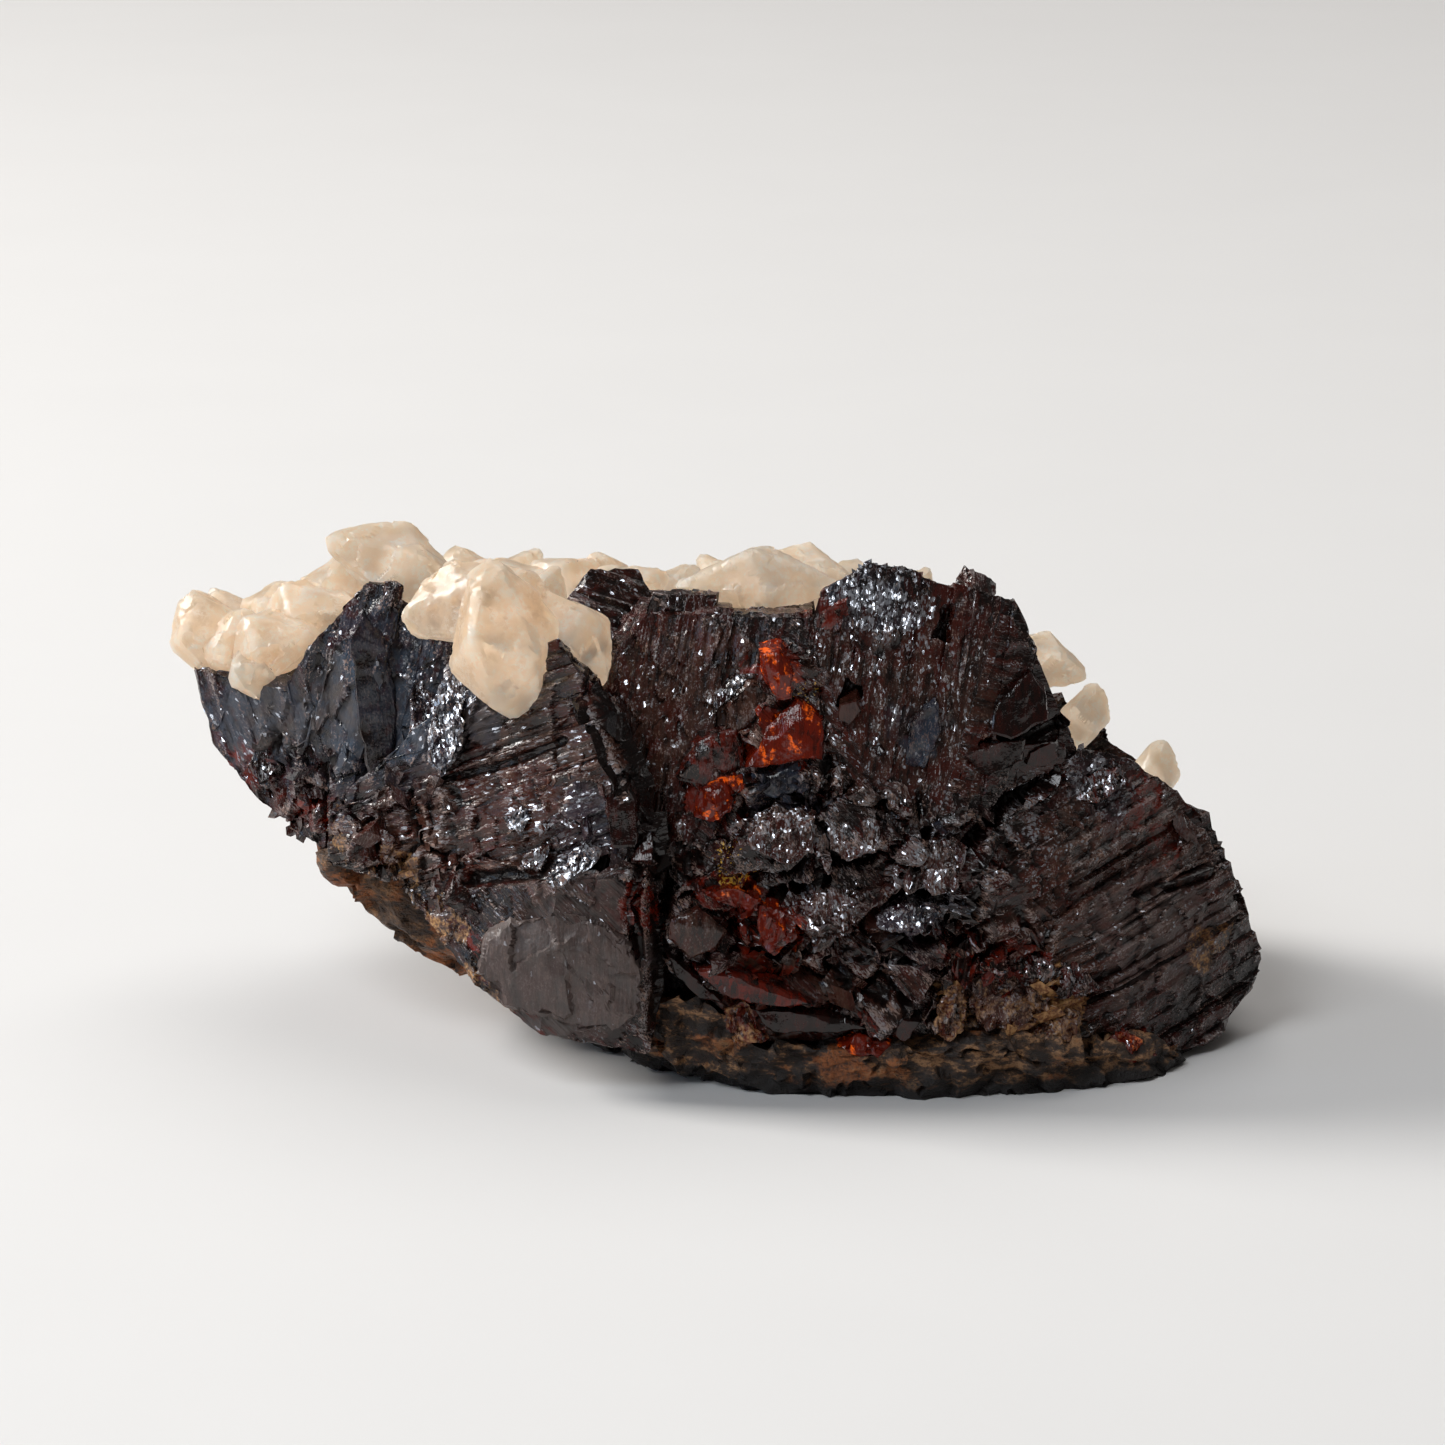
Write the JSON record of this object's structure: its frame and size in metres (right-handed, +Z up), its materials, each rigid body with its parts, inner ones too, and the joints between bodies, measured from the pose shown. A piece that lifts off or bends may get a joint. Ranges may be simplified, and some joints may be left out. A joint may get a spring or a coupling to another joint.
{
  "type": "sphalerite specimen",
  "caption": "Hand-sized mineral specimen: dark striated sphalerite crystals on brown host rock, with honey-coloured calcite crystals over its top.",
  "frame": {"origin": "middle of the bounding box's footprint, at the height of the flat face under the host rock", "axes": "+Z up, +X to the right as the show face is seen, +Y away from the show face"},
  "size_m": [0.0606, 0.0368, 0.0282],
  "materials": {
    "sphalerite": "near-black reddish brown, adamantine lustre on fine striations, orange-red where thin edges let light through",
    "calcite": "honey-beige, translucent, satin faces with pale veils inside",
    "host_rock": "brown and ochre stained, rough and speckled dark"
  },
  "bodies": {
    "root": {"sphalerite": "sphalerite", "host_rock": "host_rock", "calcite_left_spray": "calcite", "calcite_large_crystal": "calcite", "calcite_front_cluster": "calcite", "calcite_back_row": "calcite", "calcite_lens_crystal": "calcite", "calcite_behind_lens": "calcite", "calcite_right_upper": "calcite", "calcite_right_middle": "calcite", "calcite_right_lower": "calcite", "calcite_rear_left": "calcite", "calcite_rear_middle": "calcite", "calcite_rear_right": "calcite", "calcite_top_middle": "calcite"}
  },
  "joints": []
}
